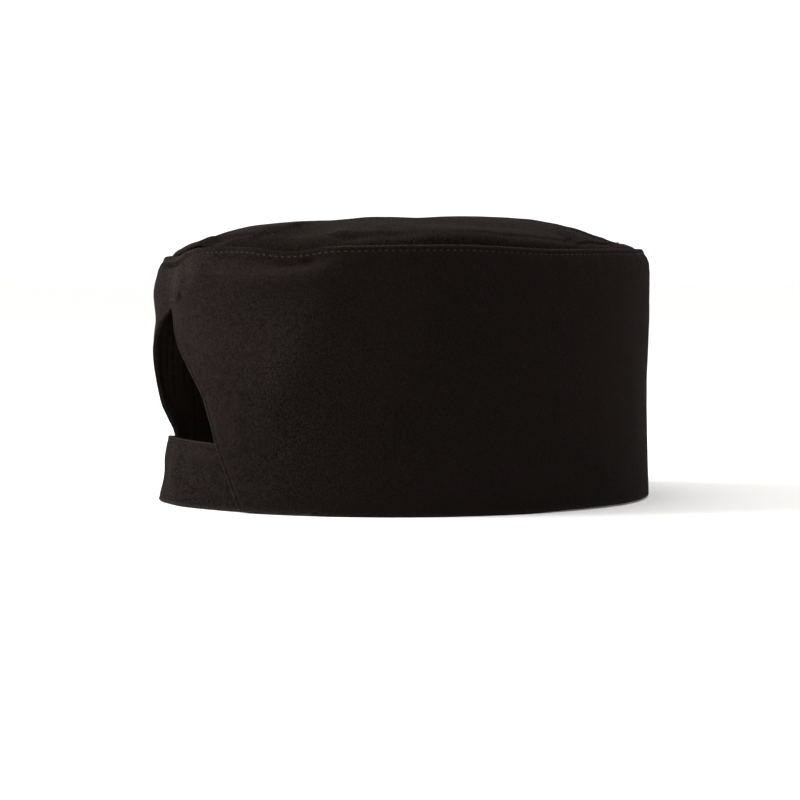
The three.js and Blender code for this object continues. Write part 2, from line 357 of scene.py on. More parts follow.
def bandRelief(turn, height):
    # how far the band's outer face stands off its plain oval
    place = ovalPlace(turn, height)[0]
    turn = aroundBack(turn)
    flat = np.stack([arcAt(turn), height], -1)
    relief = softSpots(bandForm["folds"], turn, height) + softCreases(alongBand(bandForm["creases"]), flat)
    gap = hemGap(turn, height)[0]
    hemWidth = bandForm["hemWidth"]
    relief += bandForm["hemRaise"] * (1 - easeBetween(gap, hemWidth - 1.6, hemWidth + 0.6))
    depth, width = bandForm["trough"]
    relief -= depth * bell(gap - bandForm["stitchInset"], width) * easeBetween(pointHeight - height, 0, 3)
    seamLine = bell(nearPath(flat, backSeamPath)[0], bandForm["backSeamWidth"])
    relief -= bandForm["backSeamDepth"] * seamLine * easeBetween(height, pointHeight, pointHeight + 2)
    under = seamHeight(turn) - height
    relief -= topRoll(under) * topRollShare(turn)
    # the stitches pucker the cloth along the seam and the hems
    relief += ripples(place * [1, 1, 0.2], bandForm["seamPucker"], 5) * bell(under - 3.5, 6)
    relief += ripples(place * [0.4, 0.4, 1], bandForm["hemPucker"], 6) * bell(gap - 3, 5)
    return relief + ripples(place, bandForm["ripple"], 1) + ripples(place, bandForm["fineRipple"], 2)


def bandFace(turn, height, out=0.0):
    place, facing = ovalPlace(turn, height)
    return place + facing * (bandRelief(turn, height) + out)[..., None]


def bandEdge(turn, knot):
    # the row of the band's upper edge at one place along its shape
    shape = alongKnots(blendShapes(bandEdgeShapes, turn), np.array([knot]))[0]
    return bandFace(turn, seamHeight(turn) + shape[:, 1], shape[:, 0])


def sideBandSkin():
    atHem, crowded = bandForm["crowding"]
    shares = np.linspace(0, 1, bandForm["columns"] + 1)
    spacing = atHem + (1 - atHem) * easeBetween(np.minimum(shares, 1 - shares), 0.0, crowded)
    columns = np.concatenate([[0], np.cumsum((spacing[1:] + spacing[:-1]) / 2)])
    columns /= columns[-1]
    bulge = bandForm["edgeBulge"]
    climb = np.linspace(0, 1, bandForm["bodyRows"])
    rowHeights = bulge + (pointHeight - bulge) * (0.9 * climb + 0.1 * climb**2)
    setBack, fade = bandForm["hemSetBack"]
    rows, flats = [], []
    for height in rowHeights:
        back = setBack * min(1, (pointHeight - height) / fade)
        start = nearHem(height) + back
        turn = start + (360 + farHem(height) - back - start) * columns
        heights = np.full(len(turn), height)
        rows.append(bandFace(turn, heights))
        flats.append(np.stack([turn, heights], -1))
    for share in np.linspace(0, 1, bandForm["upperRows"] + 1)[1:-1]:
        turn = backSeam(pointHeight + bandForm["upperSeam"] * share) + 360 * columns
        heights = pointHeight + (seamHeight(turn) - foldStart - pointHeight) * share
        rows.append(bandFace(turn, heights))
        flats.append(np.stack([turn, heights], -1))
    low, high = bandForm["edgeSeam"]
    knots = np.linspace(0, len(bandEdgeShapes["ridge"]) - 1, bandForm["edgeRows"])
    for knot in knots:
        turn = backSeam(low + (high - low) * knot / knots[-1]) + 360 * columns
        shape = blendShapes(bandEdgeShapes, turn)
        lengths = np.linalg.norm(np.diff(shape, axis=0), axis=-1)
        passed = np.concatenate([0 * lengths[:1], np.cumsum(lengths, axis=0)])
        reached = alongKnots(passed[..., None], np.array([knot]))[0, :, 0]
        rows.append(bandEdge(turn, knot))
        flats.append(np.stack([turn, seamHeight(turn) - foldStart + reached], -1))
    return np.stack(rows), np.stack(flats), len(rowHeights)


def addObject(name, data):
    made = bpy.data.objects.new(name, data)
    bpy.context.scene.collection.objects.link(made)
    return made


def weldGrid(rowCount, columnCount, openRows, pole):
    # rows past openRows close round the cap, and a pole makes its last row one point
    numbers = np.arange(rowCount * columnCount).reshape(rowCount, columnCount)
    grid = numbers.copy()
    grid[openRows:, -1] = grid[openRows:, 0]
    if pole:
        grid[-1, :] = grid[-1, 0]
    elif 0 < openRows < rowCount:
        grid[openRows - 1, -1] = grid[openRows - 1, 0]
    used, grid = np.unique(grid, return_inverse=True)
    return numbers, used, grid.reshape(rowCount, columnCount)


def gridQuads(grid):
    return np.stack([grid[:-1, :-1], grid[:-1, 1:], grid[1:, 1:], grid[1:, :-1]], -1).reshape(-1, 4)


def facesAndEdges(quads, corners):
    # faces without doubled points, the grid spots of their corners, and the edges left open
    faces, faceCorners, edges = [], [], {}
    for quad, corner in zip(quads.tolist(), corners.tolist()):
        kept = [k for k in range(4) if quad[k] != quad[k - 1]]
        face, spots = [quad[k] for k in kept], [corner[k] for k in kept]
        faces.append(face)
        faceCorners.append(spots)
        for k in range(len(face)):
            start, end = (face[k - 1], spots[k - 1]), (face[k], spots[k])
            if edges.pop((end[0], start[0]), None) is None:
                edges[(start[0], end[0])] = (start[1], end[1])
    return faces, faceCorners, edges


roundedEdge = {  # the points that round an open edge over, from the outer face to the inner one
    "bends": (36, 72, 108, 144),
    # the rounded edge is painted paler, as wear with a painted highlight where it catches the light
    "wearAndHighlight": (0.8, 0.4, 0.2, 0.1),
    "inside": (0, 0, 0.1, 0.5),
}


def clothPiece(name, skin, openRows, thickness, maps, shares, bulge, pole=False):
    # a closed wall from the points of its outer face, in rows
    numbers, used, grid = weldGrid(*skin.shape[:2], openRows, pole)
    outer, wall = skin.reshape(-1, 3)[used], thickness.reshape(-1)[used]
    quads = gridQuads(grid)
    across = np.cross(outer[quads[:, 2]] - outer[quads[:, 0]], outer[quads[:, 3]] - outer[quads[:, 1]])
    normals = np.zeros_like(outer)
    for k in range(4):
        np.add.at(normals, quads[:, k], across)
    normals /= np.linalg.norm(normals, axis=1, keepdims=True)
    faces, faceCorners, edges = facesAndEdges(quads, gridQuads(numbers))
    rim = sorted({v for edge in edges for v in edge})
    rimNumber = {v: i for i, v in enumerate(rim)}
    away = np.zeros((len(rim), 3))
    for start, end in edges:
        side = np.cross(outer[end] - outer[start], normals[start] + normals[end])
        side /= np.linalg.norm(side)
        away[rimNumber[start]] += side
        away[rimNumber[end]] += side
    away /= np.maximum(np.linalg.norm(away, axis=1, keepdims=True), 1e-6)
    half = normals[rim] * wall[rim, None] / 2
    bends = [math.radians(bend) for bend in roundedEdge["bends"]]
    rounds = [outer[rim] - half + half * math.cos(a) + away * bulge * math.sin(a) for a in bends]
    points = settle(np.concatenate([outer, outer - normals * wall[:, None], *rounds]))
    count = len(outer)
    reverse = [[v + count for v in face[::-1]] for face in faces]
    rounded = [lambda v, first=2 * count + n * len(rim): first + rimNumber[v] for n in range(len(bends))]
    levels = [lambda v: v, *rounded, lambda v: v + count]
    edgeFaces, edgeCorners = [], []
    for (start, end), (startSpot, endSpot) in edges.items():
        for this, after in zip(levels, levels[1:]):
            edgeFaces.append([this(end), this(start), after(start), after(end)])
            edgeCorners.append([endSpot, startSpot, startSpot, endSpot])
    mesh = bpy.data.meshes.new(name)
    mesh.from_pydata(points * mm, [], faces + reverse + edgeFaces)
    spots = [s for f in faceCorners + [f[::-1] for f in faceCorners] + edgeCorners for s in f]
    for mapName, values in maps.items():
        layer = mesh.uv_layers.new(name=mapName)
        layer.data.foreach_set("uv", values.reshape(-1, 2)[spots].astype(np.float32).ravel())
    # what the material reads: the outer face, the reverse, then the rounded edge, with painted shade in
    # creases and wear with a painted highlight on edges
    wearAndHighlight, lint, crease = (shares[key].reshape(-1)[used] for key in ("wearAndHighlight", "lint", "crease"))
    onRim = {key: [np.full(len(rim), share) for share in roundedEdge[key]] for key in ("wearAndHighlight", "inside")}
    attributes = {
        "wearAndHighlight": [wearAndHighlight, wearAndHighlight * 0.1, *onRim["wearAndHighlight"]],
        "lint": [lint, lint * 0.5, *[lint[rim]] * len(bends)],
        "crease": [crease, crease, *[crease[rim]] * len(bends)],
        "inside": [0 * wearAndHighlight, 0 * wearAndHighlight + 1, *onRim["inside"]],
    }
    for key, parts in attributes.items():
        values = np.concatenate(parts).astype(np.float32)
        mesh.attributes.new(key, "FLOAT", "POINT").data.foreach_set("value", values)
    mesh.polygons.foreach_set("use_smooth", np.ones(len(mesh.polygons), bool))
    mesh.validate()
    return addObject(name, mesh)


stitchForm = {
    "pitch": 2.5,
    "length": 1.35,
    "width": 0.5,
    "height": 0.36,
    "lift": 0.03,
    "turn": 0,
    "jitter": 0.1,
    "seed": 7,
    "sunk": 0.24,  # where the soft roll at the back swallows its stitches
    "hole": (0.12, 0.42),  # how far from its middle a needle hole starts to fade, and ends
    "trough": (0.2, 0.9),  # the same for the trough along the row
}
hemStitchForm = dict(
    stitchForm, length=1.6, width=0.36, height=0.3, lift=0.0,
    fromRim=1.5, fromPoint=1,  # where the rows stop short
)
strapStitchForm = dict(
    stitchForm, pitch=2.1, length=1.5, width=0.38, height=0.32, lift=0.02,
    level=12, runOn=3,  # the turn that both rows run on behind the hems, which are met at this height
)
barTackForm = dict(
    stitchForm, pitch=0.8, length=1.2, width=0.5, height=0.4, turn=90, lift=0.0, jitter=0.6,
    turns=(2.6, 8.2), level=78.3,  # where the row runs, over the opening's point
)


def stitchPitch(length):
    return length / round(length / stitchForm["pitch"])


def makeSideBand():
    skin, flat, openRows = sideBandSkin()
    turn, height = flat[..., 0], flat[..., 1]
    back = aroundBack(turn)
    under = seamHeight(turn) - height
    arc = arcAt(turn)
    gap, passed = (v.reshape(turn.shape) for v in hemGap(turn.ravel(), height.ravel()))
    hemLength = nearPath(hemPaths[0][:1], hemPaths[0])[2]
    maps = {
        "cloth": np.stack([arc * mm, height * mm], -1),
        "topRow": np.stack([arc / stitchPitch(arcAt(360)), foldStart - under - bandForm["seamRowAt"]], -1),
        "hemRow": np.stack([passed / stitchPitch(hemLength), gap - bandForm["stitchInset"]], -1),
    }
    onHem = 1 - easeBetween(gap, bandForm["hemWidth"] - 0.7, bandForm["hemWidth"] + 0.7)
    wall = bandForm["wall"] + (bandForm["hemWall"] - bandForm["wall"]) * onHem
    edgeRows = np.arange(bandForm["edgeRows"])
    wall[-len(edgeRows):] *= 1 - (1 - bandForm["turnedInWall"]) * easeBetween(edgeRows, 8, 18)[:, None]
    nearSide = (back > capForm["openingEdges"][-1][1]).astype(float)
    # painted shade under the lip, along the far hem's edge and in dimples and creases
    down, spread, depth = bandForm["lipShade"]
    crease = depth * bell(under - down, spread) * lipShare(back)
    spread, depth = bandForm["farHemShade"]
    crease += depth * bell(gap, spread) * (1 - nearSide) * (height < pointHeight - 4)
    crease += softSpots(bandForm["shades"], turn, height)
    spread, share = bandForm["wornRim"]
    # the near hem's edge and the upper ridge are painted paler as wear with a painted highlight, the rim as
    # wear
    wearAndHighlight = bell(gap, bandForm["wornLitHem"]) * nearSide + share * bell(height, spread)
    wearAndHighlight += bell(under + 0.1, bandForm["wornLitRidge"]) * ridgeWearAndHighlight(back)
    wearAndHighlight += softSpots(bandForm["paintedHighlights"], turn, height)
    shares = {"wearAndHighlight": np.clip(wearAndHighlight, 0, 1), "lint": bandLint(back), "crease": np.clip(crease, 0, 1)}
    return clothPiece("sideBand", skin, openRows, wall, maps, shares, bandForm["edgeBulge"])


# The crown: a soft oval panel whose edge is turned down inside the band.
crownForm = {
    "columns": 360,
    "finerSide": (70, 0.9, 80),  # turn that the columns crowd towards, how much, and how widely
    "domeRows": 72,
    "edgeRows": 30,
    "wall": 1.1,
    "edgeBulge": 0.3,
    "edgeInset": 2.1,  # from the band's outside to where the profile ends
    "leansAt": 0.5,  # how far under the seam the edge takes the band's lean
    "hangsAt": 6,  # and the band's place that its turned-in end hangs against
    "hangsFrom": (2.4, 5.5),  # how far under the seam the one passes into the other
    "edgeRelief": (0.93, 1, 0.8, 0.5, 0.25),  # reach whose ripples the edge takes, then its share of them
    "level": 97.3,  # height that the profile is counted from
    "backTurn": -21,  # where the back profile holds, with the front profile opposite
    "ripple": (0.18, 42),  # how high and how long
    "fineRipple": (0.05, 13),
    "gather": (0.2, 17),
    "profile": [  # reach from the middle to the edge, rise towards the back, the front and the sides
        (0, 13.0, 13.0, 13.0), (0.12, 12.1, 13.4, 13.0), (0.25, 11.5, 13.6, 13.0), (0.37, 11.2, 13.4, 12.6),
        (0.5, 10.9, 12.8, 11.9), (0.56, 10.5, 12.0, 11.3), (0.62, 10.0, 10.8, 10.6), (0.68, 9.2, 9.2, 9.8),
        (0.74, 8.0, 7.1, 8.9), (0.8, 6.5, 5.1, 7.8), (0.86, 5.2, 3.4, 6.5), (0.9, 4.3, 2.3, 5.5),
        (0.94, 2.6, 1.1, 4.1), (1, 0, 0, 0),
    ],
    "folds": [  # turn, reach, spread of each, push
        (128, 0.8, 8, 0.12, 0.6), (101, 0.87, 13, 0.1, 1.2),
    ],
    "creases": [  # path of x and y, width, push
        ([(-37, 83), (-41.4, 80.6), (-45.8, 76.7), (-47, 70.6), (-46, 67), (-42, 62.5), (-38, 56),
          (-32, 48)], 1.9, 1.5),
        ([(-38, 81), (-41.5, 78), (-43.4, 72.4), (-42.4, 69), (-38.4, 64.7), (-34, 58), (-28, 50)],
         3.4, -1.4),
        ([(-40, -46), (-54, -43), (-63, -41), (-69, -41.8), (-76, -41.8)], 1.6, 1.1),
        ([(-50, -48.5), (-62, -46.5), (-70, -46.5), (-76, -47)], 2.4, -0.9),
        ([(-32, -54), (-37, -61), (-45, -65.5), (-51, -69.5)], 1.6, 1.0),
    ],
    "shades": [  # path of x and y, width, darkness behind the fold
        ([(-33, 84), (-38.5, 79), (-41, 73), (-39, 67), (-35, 61), (-30, 54)], 4.5, 0.6),
    ],
    "tuckShade": (6.9, 1.1, 0.9),  # knot of the edge's shape, spread and darkness
    "grain": (0.82, 0.57),  # how the panel was turned when it was cut
    "dustAndTopLight": (7, 12, 0.03),  # the crown's top painted paler, as painted top light with some dust: height over the seam where it starts and is full, and its share
    "lint": 0.5,
}
crownRises = [smoothCurve([(row[0], row[side]) for row in crownForm["profile"]]) for side in (1, 2, 3)]
joinReaches = (0.9, 0.86)  # where the dome hands over to the shapes of its edge


def crownHeight(turn, reach):
    alongCap = np.cos(np.radians(turn - crownForm["backTurn"]))
    shares = [np.maximum(alongCap, 0) ** 2, np.maximum(-alongCap, 0) ** 2, 1 - alongCap**2]
    nearEdge = easeBetween(reach, 0.6, 1)
    height = crownForm["level"] * (1 - nearEdge) + seamHeight(turn) * nearEdge
    height += sum(rise(reach) * share for rise, share in zip(crownRises, shares))
    return height + softSpots(crownForm["folds"], turn, reach)


def crownRelief(place, reach):
    relief = ripples(place, crownForm["ripple"], 11) + ripples(place, crownForm["fineRipple"], 12)
    relief += softCreases(crownForm["creases"], place[:, :2])
    angle = np.arctan2(place[:, 1] / halfDepth, place[:, 0] / halfWidth)
    # the seam gathers the panel's edge into small waves that run towards the middle
    spokes = np.stack([np.cos(angle), np.sin(angle), 0 * angle], -1) * 90
    return relief + ripples(spokes, crownForm["gather"], 13) * bell(reach - 0.9, 0.13)


def crownSkin():
    turns = np.linspace(0, 360, 1441)
    side, more, spread = crownForm["finerSide"]
    crowding = np.cumsum(1 + more * bell(aroundBack(turns - side), spread))
    crowding = (crowding - crowding[0]) / (crowding[-1] - crowding[0])
    turn = np.interp(np.linspace(0, 1, crownForm["columns"] + 1), crowding, turns)
    place, facing = ovalPlace(turn, 0 * turn)
    edgeOval = place - facing * crownForm["edgeInset"]

    def domePoint(reach):
        spot = edgeOval * reach
        spot[:, 2] = crownHeight(turn, np.full(len(turn), reach))
        spot[:, 2] += crownRelief(spot, np.full(len(turn), reach))
        return spot

    joins = [domePoint(reach) for reach in joinReaches]
    shape = blendShapes(crownEdgeShapes, turn)
    seam = seamHeight(turn)
    leaning, hanging = (bandRelief(turn, seam - crownForm[key]) for key in ("leansAt", "hangsAt"))
    edgeKnots = []
    for inset, up in zip(shape[..., 0], shape[..., 1]):
        band = leaning + (hanging - leaning) * easeBetween(-up, *crownForm["hangsFrom"])
        spot = place + facing * (band - inset)[:, None]
        spot[:, 2] = seam + up
        edgeKnots.append(spot)
    reach, *edgeShares = crownForm["edgeRelief"]
    for spot, share in zip(edgeKnots, edgeShares):
        relief = crownRelief(spot, np.full(len(turn), reach)) * share
        spot += facing * relief[:, None] * 0.5
        spot[:, 2] += relief
    knots = np.stack([joins[1], joins[0], *edgeKnots])
    knotPlaces = np.linspace(len(knots) - 1, 1, crownForm["edgeRows"])
    edgeRows = alongKnots(knots, knotPlaces)
    reaches = np.linspace(0, 1, crownForm["domeRows"])
    reaches = joinReaches[0] * (1 - reaches[1:] ** 1.15)
    domeRows = [domePoint(reach) for reach in reaches]
    skin = np.stack([*edgeRows, *domeRows])
    # painted shade behind the crown's fold and in the tuck under its bulge
    crease = softCreases(crownForm["shades"], skin[..., :2].reshape(-1, 2)).reshape(skin.shape[:2])
    knot, spread, depth = crownForm["tuckShade"]
    crease[: len(edgeRows)] += bell(knotPlaces - knot, spread)[:, None] * tuckShare(aroundBack(turn)) * depth
    return skin, turn, np.clip(crease, 0, 1)


def makeCrown():
    skin, turn, crease = crownSkin()
    steps = np.linalg.norm(np.diff(skin, axis=0), axis=-1)
    passed = np.concatenate([0 * steps[:1], np.cumsum(steps, axis=0)])
    heading = skin[0, :, :2] / np.linalg.norm(skin[0, :, :2], axis=-1, keepdims=True)
    flat = heading * (passed[-1] - passed)[..., None] * mm  # laid out flat from the middle
    wall = np.full(skin.shape[:2], crownForm["wall"])
    along, across = crownForm["grain"]
    turned = [flat[..., 0] * along + flat[..., 1] * across, flat[..., 1] * along - flat[..., 0] * across]
    low, high, dustAndTopLight = crownForm["dustAndTopLight"]
    shares = {
        # the crown's top painted a little paler, as painted top light with some dust
        "wearAndHighlight": dustAndTopLight * easeBetween(skin[..., 2] - seamHeight(turn), low, high),
        "lint": np.full(wall.shape, crownForm["lint"]),
        "crease": crease,
    }
    maps = {"cloth": np.stack(turned, -1)}
    return clothPiece("crownPanel", skin, 0, wall, maps, shares, crownForm["edgeBulge"], pole=True)


# The strap that closes the band below the opening, tucked in behind both hems.
strapForm = {
    "columns": 150,
    "rows": 44,
    "height": 24.9,
    "sag": (0.7, 2.6),  # at the near and the far end of the free span
    "lift": 0.4,
    "under": 2.3,  # how far its face lies under the band's where it is tucked in
    "pressedGap": 0.2,  # at the far end, which is pressed against the inside of its hem
    "tuck": 7.5,
    "free": (6, 29),  # turns between which the free span runs in to the tucked ends
    "standsOut": (2.6, -1.6),  # lower and upper edge in the middle of the free span
    "wall": 1.3,
    "edgeBulge": 0.4,
    "stitchUp": 1.2,  # of the lower row of stitches over the lower edge
    "stitchDown": 1.5,  # of the upper row under the upper edge
    "trough": (0.22, 0.6),  # depth and width of what each row pulls in
    "ripple": (0.3, 22),  # how high and how long
    "creases": [  # path of turns and heights, width, push
        ([(12, 12.8), (19, 12.2), (27, 13)], 1.5, 0.8),
        ([(13, 17.5), (19, 17), (25, 17.5)], 2.6, -0.9),
        ([(-14, 8), (-5, 11), (4, 9)], 4, -0.4),
    ],
    "shades": [(22, 16, 7, 2.6, 0.35), (-5, 10, 8, 3, 0.25)],  # turn, height, spread of each, darkness
    "wornAndLit": ((0.9, 1), (0.7, 0.25)),  # spread and share at the lower and the upper edge
    "lint": 0.7,
}


def strapPoint(turn, share):
    bulge = strapForm["edgeBulge"]
    foot, top = strapForm["lift"] + bulge, strapForm["height"] - bulge
    free = 1 - easeBetween(np.abs(turn), *strapForm["free"])
    top = top - np.where(turn > 0, *strapForm["sag"]) * (turn / strapForm["free"][1]) ** 2
    height = foot + (top - foot) * share
    place, facing = ovalPlace(turn, height)
    relief = softSpots(bandForm["folds"], turn, height) - strapForm["under"]
    pressed = bandRelief(turn, height) - bandForm["hemWall"] - strapForm["pressedGap"]
    relief += (pressed - relief) * easeBetween(farHem(height) - turn, -0.5, 2.5)
    low, high = strapForm["standsOut"]
    relief += free * (low + (high - low) * share)
    flat = np.stack([arcAt(turn), height], -1)
    relief += softCreases(alongBand(strapForm["creases"]), flat) * free**0.3
    depth, width = strapForm["trough"]
    relief -= depth * bell(height - foot + bulge - strapForm["stitchUp"], width)
    relief -= depth * bell(top + bulge - height - strapForm["stitchDown"], width)
    relief += ripples(place * [1, 1, 1.4], strapForm["ripple"], 21) * free
    return place + facing * relief[..., None], height


def makeStrap():
    rows, heights, turns = [], [], []
    for share in np.linspace(0, 1, strapForm["rows"]):
        level = strapForm["height"] * share
        start, end = farHem(level) - strapForm["tuck"], nearHem(level) + strapForm["tuck"]
        turn = np.linspace(start, end, strapForm["columns"] + 1)
        skin, height = strapPoint(turn, np.full(len(turn), share))
        rows.append(skin)
        heights.append(height)
        turns.append(turn)
    skin, height, turn = np.stack(rows), np.stack(heights), np.stack(turns)
    arc = arcAt(turn)
    topHeight = height[-1] + strapForm["edgeBulge"]
    pitches = arc / stitchForm["pitch"]
    maps = {
        "cloth": np.stack([arc * mm, height * mm], -1),
        "topRow": np.stack([pitches, height - (topHeight - strapForm["stitchDown"])], -1),
        "hemRow": np.stack([pitches, height - strapForm["lift"] - strapForm["stitchUp"]], -1),
    }
    wall = np.full(height.shape, strapForm["wall"])
    edges = (height - strapForm["lift"], height - topHeight)
    wearAndHighlight = sum(share * bell(edge, spread) for edge, (spread, share) in zip(edges, strapForm["wornAndLit"]))
    shares = {
        "wearAndHighlight": np.clip(wearAndHighlight, 0, 1),
        "lint": np.full(wall.shape, strapForm["lint"]),
        # painted shade in the strap's creases
        "crease": softSpots(strapForm["shades"], turn, height),
    }
    return clothPiece("backStrap", skin, len(skin), wall, maps, shares, strapForm["edgeBulge"])


# Small helpers for node trees.
def addNode(tree, kind, values=None, **settings):
    node = tree.nodes.new(kind)
    for name, value in settings.items():
        setattr(node, name, value)
    for socket, value in (values or {}).items():
        if isinstance(value, bpy.types.NodeSocket):
            tree.links.new(value, node.inputs[socket])
        else:
            node.inputs[socket].default_value = value
    return node


def compute(tree, operation, *values):
    return addNode(tree, "ShaderNodeMath", dict(enumerate(values)), operation=operation).outputs[0]


def times(tree, first, second):
    return compute(tree, "MULTIPLY", first, second)


def plus(tree, first, second):
    return compute(tree, "ADD", first, second)


def minus(tree, first, second):
    return compute(tree, "SUBTRACT", first, second)


def vectorMath(tree, operation, values):
    return addNode(tree, "ShaderNodeVectorMath", values, operation=operation).outputs[0]


def fadeStep(tree, value, low, high, atLow=0.0, atHigh=1.0):
    sockets = {"Value": value, "From Min": low, "From Max": high, "To Min": atLow, "To Max": atHigh}
    return addNode(tree, "ShaderNodeMapRange", sockets, interpolation_type="SMOOTHSTEP").outputs["Result"]


def cloudNoise(tree, vector, scale, detail=2.0, roughness=0.5):
    sockets = {"Vector": vector, "Scale": scale, "Detail": detail, "Roughness": roughness}
    return addNode(tree, "ShaderNodeTexNoise", sockets).outputs["Fac"]


def stretchedNoise(tree, vector, stretch, scale, roughness):
    stretched = addNode(tree, "ShaderNodeMapping", {"Vector": vector, "Scale": stretch}).outputs[0]
    return cloudNoise(tree, stretched, scale, 2.0, roughness)


def mixColours(tree, share, first, second):
    # a plain colour is given as red, green and blue
    colours = [(*colour, 1) if isinstance(colour, tuple) else colour for colour in (first, second)]
    sockets = {0: share, 6: colours[0], 7: colours[1]}
    return addNode(tree, "ShaderNodeMix", sockets, data_type="RGBA").outputs[2]


def readShare(tree, name):
    return addNode(tree, "ShaderNodeAttribute", attribute_name=name).outputs["Fac"]


def startMaterial(name):
    material = bpy.data.materials.new(name)
    material.use_nodes = True
    material.node_tree.nodes.clear()
    return material, material.node_tree


def finishMaterial(tree, sockets):
    shader = addNode(tree, "ShaderNodeBsdfPrincipled", sockets)
    addNode(tree, "ShaderNodeOutputMaterial", {"Surface": shader.outputs[0]})


def stitchHoles(tree, mapName):
    # needle holes between the stitches, and painted shade along the soft trough that the row pulls into the
    # cloth
    row = addNode(tree, "ShaderNodeUVMap", uv_map=mapName).outputs[0]
    parts = addNode(tree, "ShaderNodeSeparateXYZ", {0: row}).outputs
    along = times(tree, minus(tree, compute(tree, "FRACT", parts[0]), 0.5), stitchForm["pitch"])
    squares = [compute(tree, "POWER", value, 2.0) for value in (along, parts[1])]
    away = compute(tree, "SQRT", plus(tree, *squares))
    hole = fadeStep(tree, away, *stitchForm["hole"], 1.0, 0.0)
    trough = fadeStep(tree, compute(tree, "ABSOLUTE", parts[1]), *stitchForm["trough"], 1.0, 0.0)
    return hole, trough


def twillCloth(name, look, stitchMaps=()):
    material, tree = startMaterial(name)
    cloth = addNode(tree, "ShaderNodeUVMap", uv_map="cloth").outputs[0]
    solid = addNode(tree, "ShaderNodeTexCoord").outputs["Object"]
    # the yarns wander a little, so no rib runs quite straight
    sockets = {"Vector": cloth, "Scale": look["wanderScale"], "Detail": 1.0}
    sway = addNode(tree, "ShaderNodeTexNoise", sockets).outputs["Color"]
    sway = vectorMath(tree, "SUBTRACT", {0: sway, 1: (0.5, 0.5, 0.5)})
    sway = vectorMath(tree, "SCALE", {0: sway, "Scale": look["wander"] * mm})
    woven = vectorMath(tree, "ADD", {0: cloth, 1: sway})
    along, up = addNode(tree, "ShaderNodeSeparateXYZ", {0: woven}).outputs[:2]
    # diagonal ribs, each broken into short floats that step from rib to rib
    slope = math.radians(look["ribAngle"])
    rib, step = look["ribPitch"] * mm, look["floatPitch"] * mm
    phase = plus(tree, times(tree, up, math.cos(slope) / rib), times(tree, along, math.sin(slope) / rib))
    back = minus(tree, times(tree, along, math.cos(slope) / step), times(tree, up, math.sin(slope) / step))
    ribNumber = compute(tree, "FLOOR", phase)
    stepped = plus(tree, back, times(tree, ribNumber, look["floatStep"]))
    floatNumber = compute(tree, "FLOOR", stepped)
    cell = addNode(tree, "ShaderNodeCombineXYZ", {0: ribNumber, 1: floatNumber}).outputs[0]
    chance = addNode(tree, "ShaderNodeTexWhiteNoise", {0: cell}, noise_dimensions="2D").outputs[0]
    ribHeight = fadeStep(tree, compute(tree, "PINGPONG", phase, 0.5), 0.02, 0.4)
    floatHeight = fadeStep(tree, compute(tree, "PINGPONG", stepped, 0.5), 0.0, 0.2, 0.35, 1.0)
    weave = times(tree, ribHeight, floatHeight)
    # uneven yarns along the cloth, streaks up it, fuzz on top, and soft clouds of dye and dust
    slub = stretchedNoise(tree, cloth, (0.12, 1.0, 1.0), look["slubScale"], 0.6)
    streaks = stretchedNoise(tree, cloth, (1.0, 0.07, 1.0), look["streakScale"], 0.5)
    fuzz = cloudNoise(tree, solid, look["fuzzScale"], 1.2, 0.6)
    cloud = cloudNoise(tree, solid, look["cloudScale"], 3.0, 0.55)
    height = times(tree, weave, fadeStep(tree, chance, 0, 1, 0.7, 1.2))
    height = plus(tree, height, times(tree, slub, look["slubBump"]))
    height = plus(tree, height, times(tree, fuzz, look["fuzzBump"]))
    colour = mixColours(tree, weave, look["valley"], look["yarn"])
    bright = times(tree, fadeStep(tree, chance, 0.45, 1.0), weave)
    colour = mixColours(tree, times(tree, bright, look["slubShare"]), colour, look["slub"])
    # pale and dark floats, and lint caught in them
    floats = times(tree, minus(tree, chance, 0.5), look["melange"])
    lint = fadeStep(tree, fuzz, 0.32, 0.68, -look["speckle"], look["speckle"])
    speckle = plus(tree, times(tree, plus(tree, floats, lint), readShare(tree, "lint")), 1.0)
    colour = vectorMath(tree, "SCALE", {0: colour, "Scale": speckle})
    dustAndTopLight = fadeStep(tree, cloud, 0.3, 0.75, 0, look["cloudShare"])
    colour = mixColours(tree, dustAndTopLight, colour, look["dusty"])
    # wear with a painted highlight: edges, ridge, hems and lit spots are mixed towards a paler colour
    wornAndLitShare = times(tree, readShare(tree, "wearAndHighlight"), fadeStep(tree, fuzz, 0.35, 0.7, 0.3, 1.0))
    colour = mixColours(tree, times(tree, wornAndLitShare, look["wearAndLightShare"]), colour, look["wornAndLit"])
    for mapName in stitchMaps:
        hole, trough = stitchHoles(tree, mapName)
        colour = mixColours(tree, times(tree, hole, look["holeShade"]), colour, look["hole"])
        # painted shade along the row's trough
        colour = mixColours(tree, times(tree, trough, look["troughShade"]), colour, look["valley"])
        height = minus(tree, height, times(tree, hole, look["holeDepth"]))
    # painted shade: creases, hollows and the lip's underside are darkened in the colour
    crease = times(tree, readShare(tree, "crease"), look["creaseShade"])
    colour = mixColours(tree, crease, colour, look["crease"])
    reverse = times(tree, readShare(tree, "inside"), fadeStep(tree, streaks, 0.3, 0.7, 0.6, 1.0))
    colour = mixColours(tree, reverse, colour, look["inside"])
    rough, rougher = look["roughness"]
    sockets = {"Height": height, "Strength": look["bumpStrength"], "Distance": look["bumpDepth"] * mm}
    finishMaterial(tree, {
        "Base Color": colour,
        "Roughness": fadeStep(tree, fuzz, 0.3, 0.7, rougher, rough),
        "Normal": addNode(tree, "ShaderNodeBump", sockets).outputs[0],
        "Specular IOR Level": look["specular"],
        "Sheen Weight": look["sheen"],
        "Sheen Roughness": look["sheenRoughness"],
        "Sheen Tint": (*look["sheenTint"], 1),
    })
    return material


